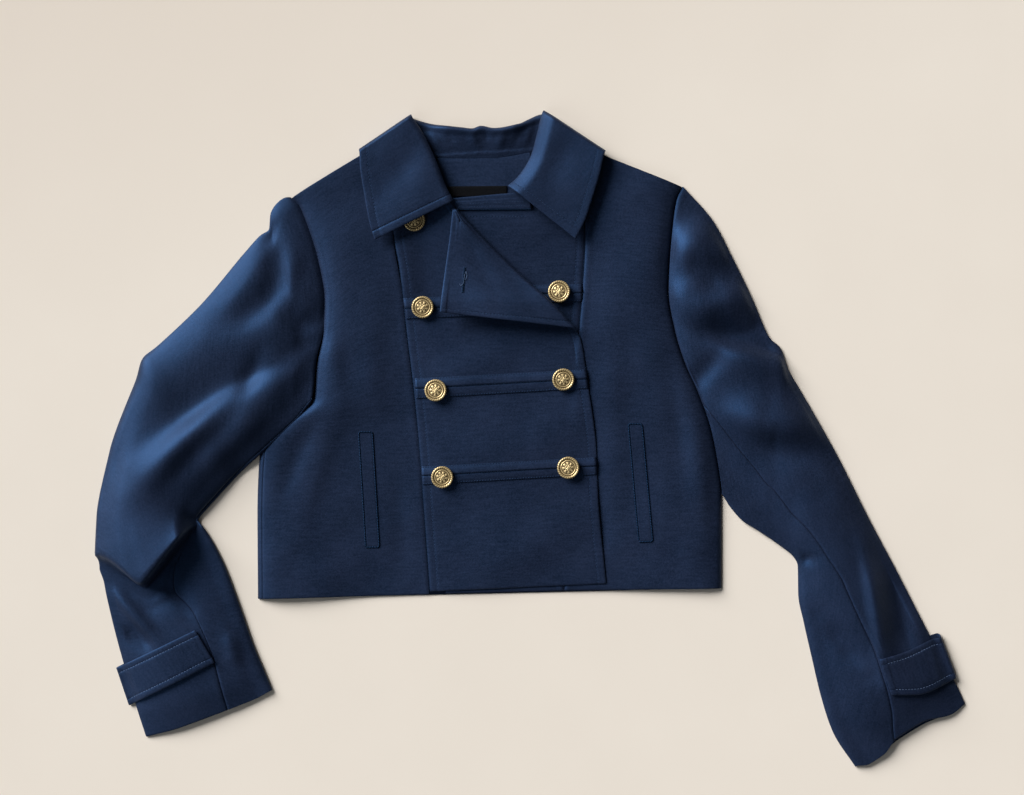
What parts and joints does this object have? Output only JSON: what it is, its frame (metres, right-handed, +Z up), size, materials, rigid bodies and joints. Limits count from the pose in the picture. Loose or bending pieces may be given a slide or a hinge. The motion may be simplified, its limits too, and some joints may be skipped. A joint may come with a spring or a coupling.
{
  "type": "cropped blazer",
  "caption": "Cropped double-breasted blazer in navy twill with gilt shank buttons, laid flat on its back with the collar open and one front corner turned back.",
  "frame": {"origin": "middle of the laid-out garment's box, on the surface that it lies on", "axes": "+X to the wearer's left across the spread sleeves, +Y from hem to collar, +Z up off the surface"},
  "size_m": [0.8682, 0.6551, 0.0278],
  "materials": {
    "cloth": "navy cotton twill with a soft sheen",
    "label": "black woven satin, bare",
    "metal": "antique gilt"
  },
  "bodies": {
    "root": {"back": "cloth", "back_facing": "cloth", "label": "label", "collar_fall": "cloth", "collar_stand": "cloth", "front_right_side": "cloth", "front_right_placket": "cloth", "front_right_revers": "cloth", "front_left_side": "cloth", "front_left_placket": "cloth", "neckband_left": "cloth", "sleeve_right_top": "cloth", "sleeve_right_under": "cloth", "sleeve_left_top": "cloth", "sleeve_left_under": "cloth", "cuff_tab_right": "cloth", "cuff_tab_left": "cloth", "welt_right": "cloth", "welt_left": "cloth", "band_right_row2": "cloth", "band_left_row2": "cloth", "band_row3": "cloth", "band_row4": "cloth", "button_right_1": "metal", "button_right_2": "metal", "button_right_3": "metal", "button_right_4": "metal", "button_left_2": "metal", "button_left_3": "metal", "button_left_4": "metal"}
  },
  "joints": []
}
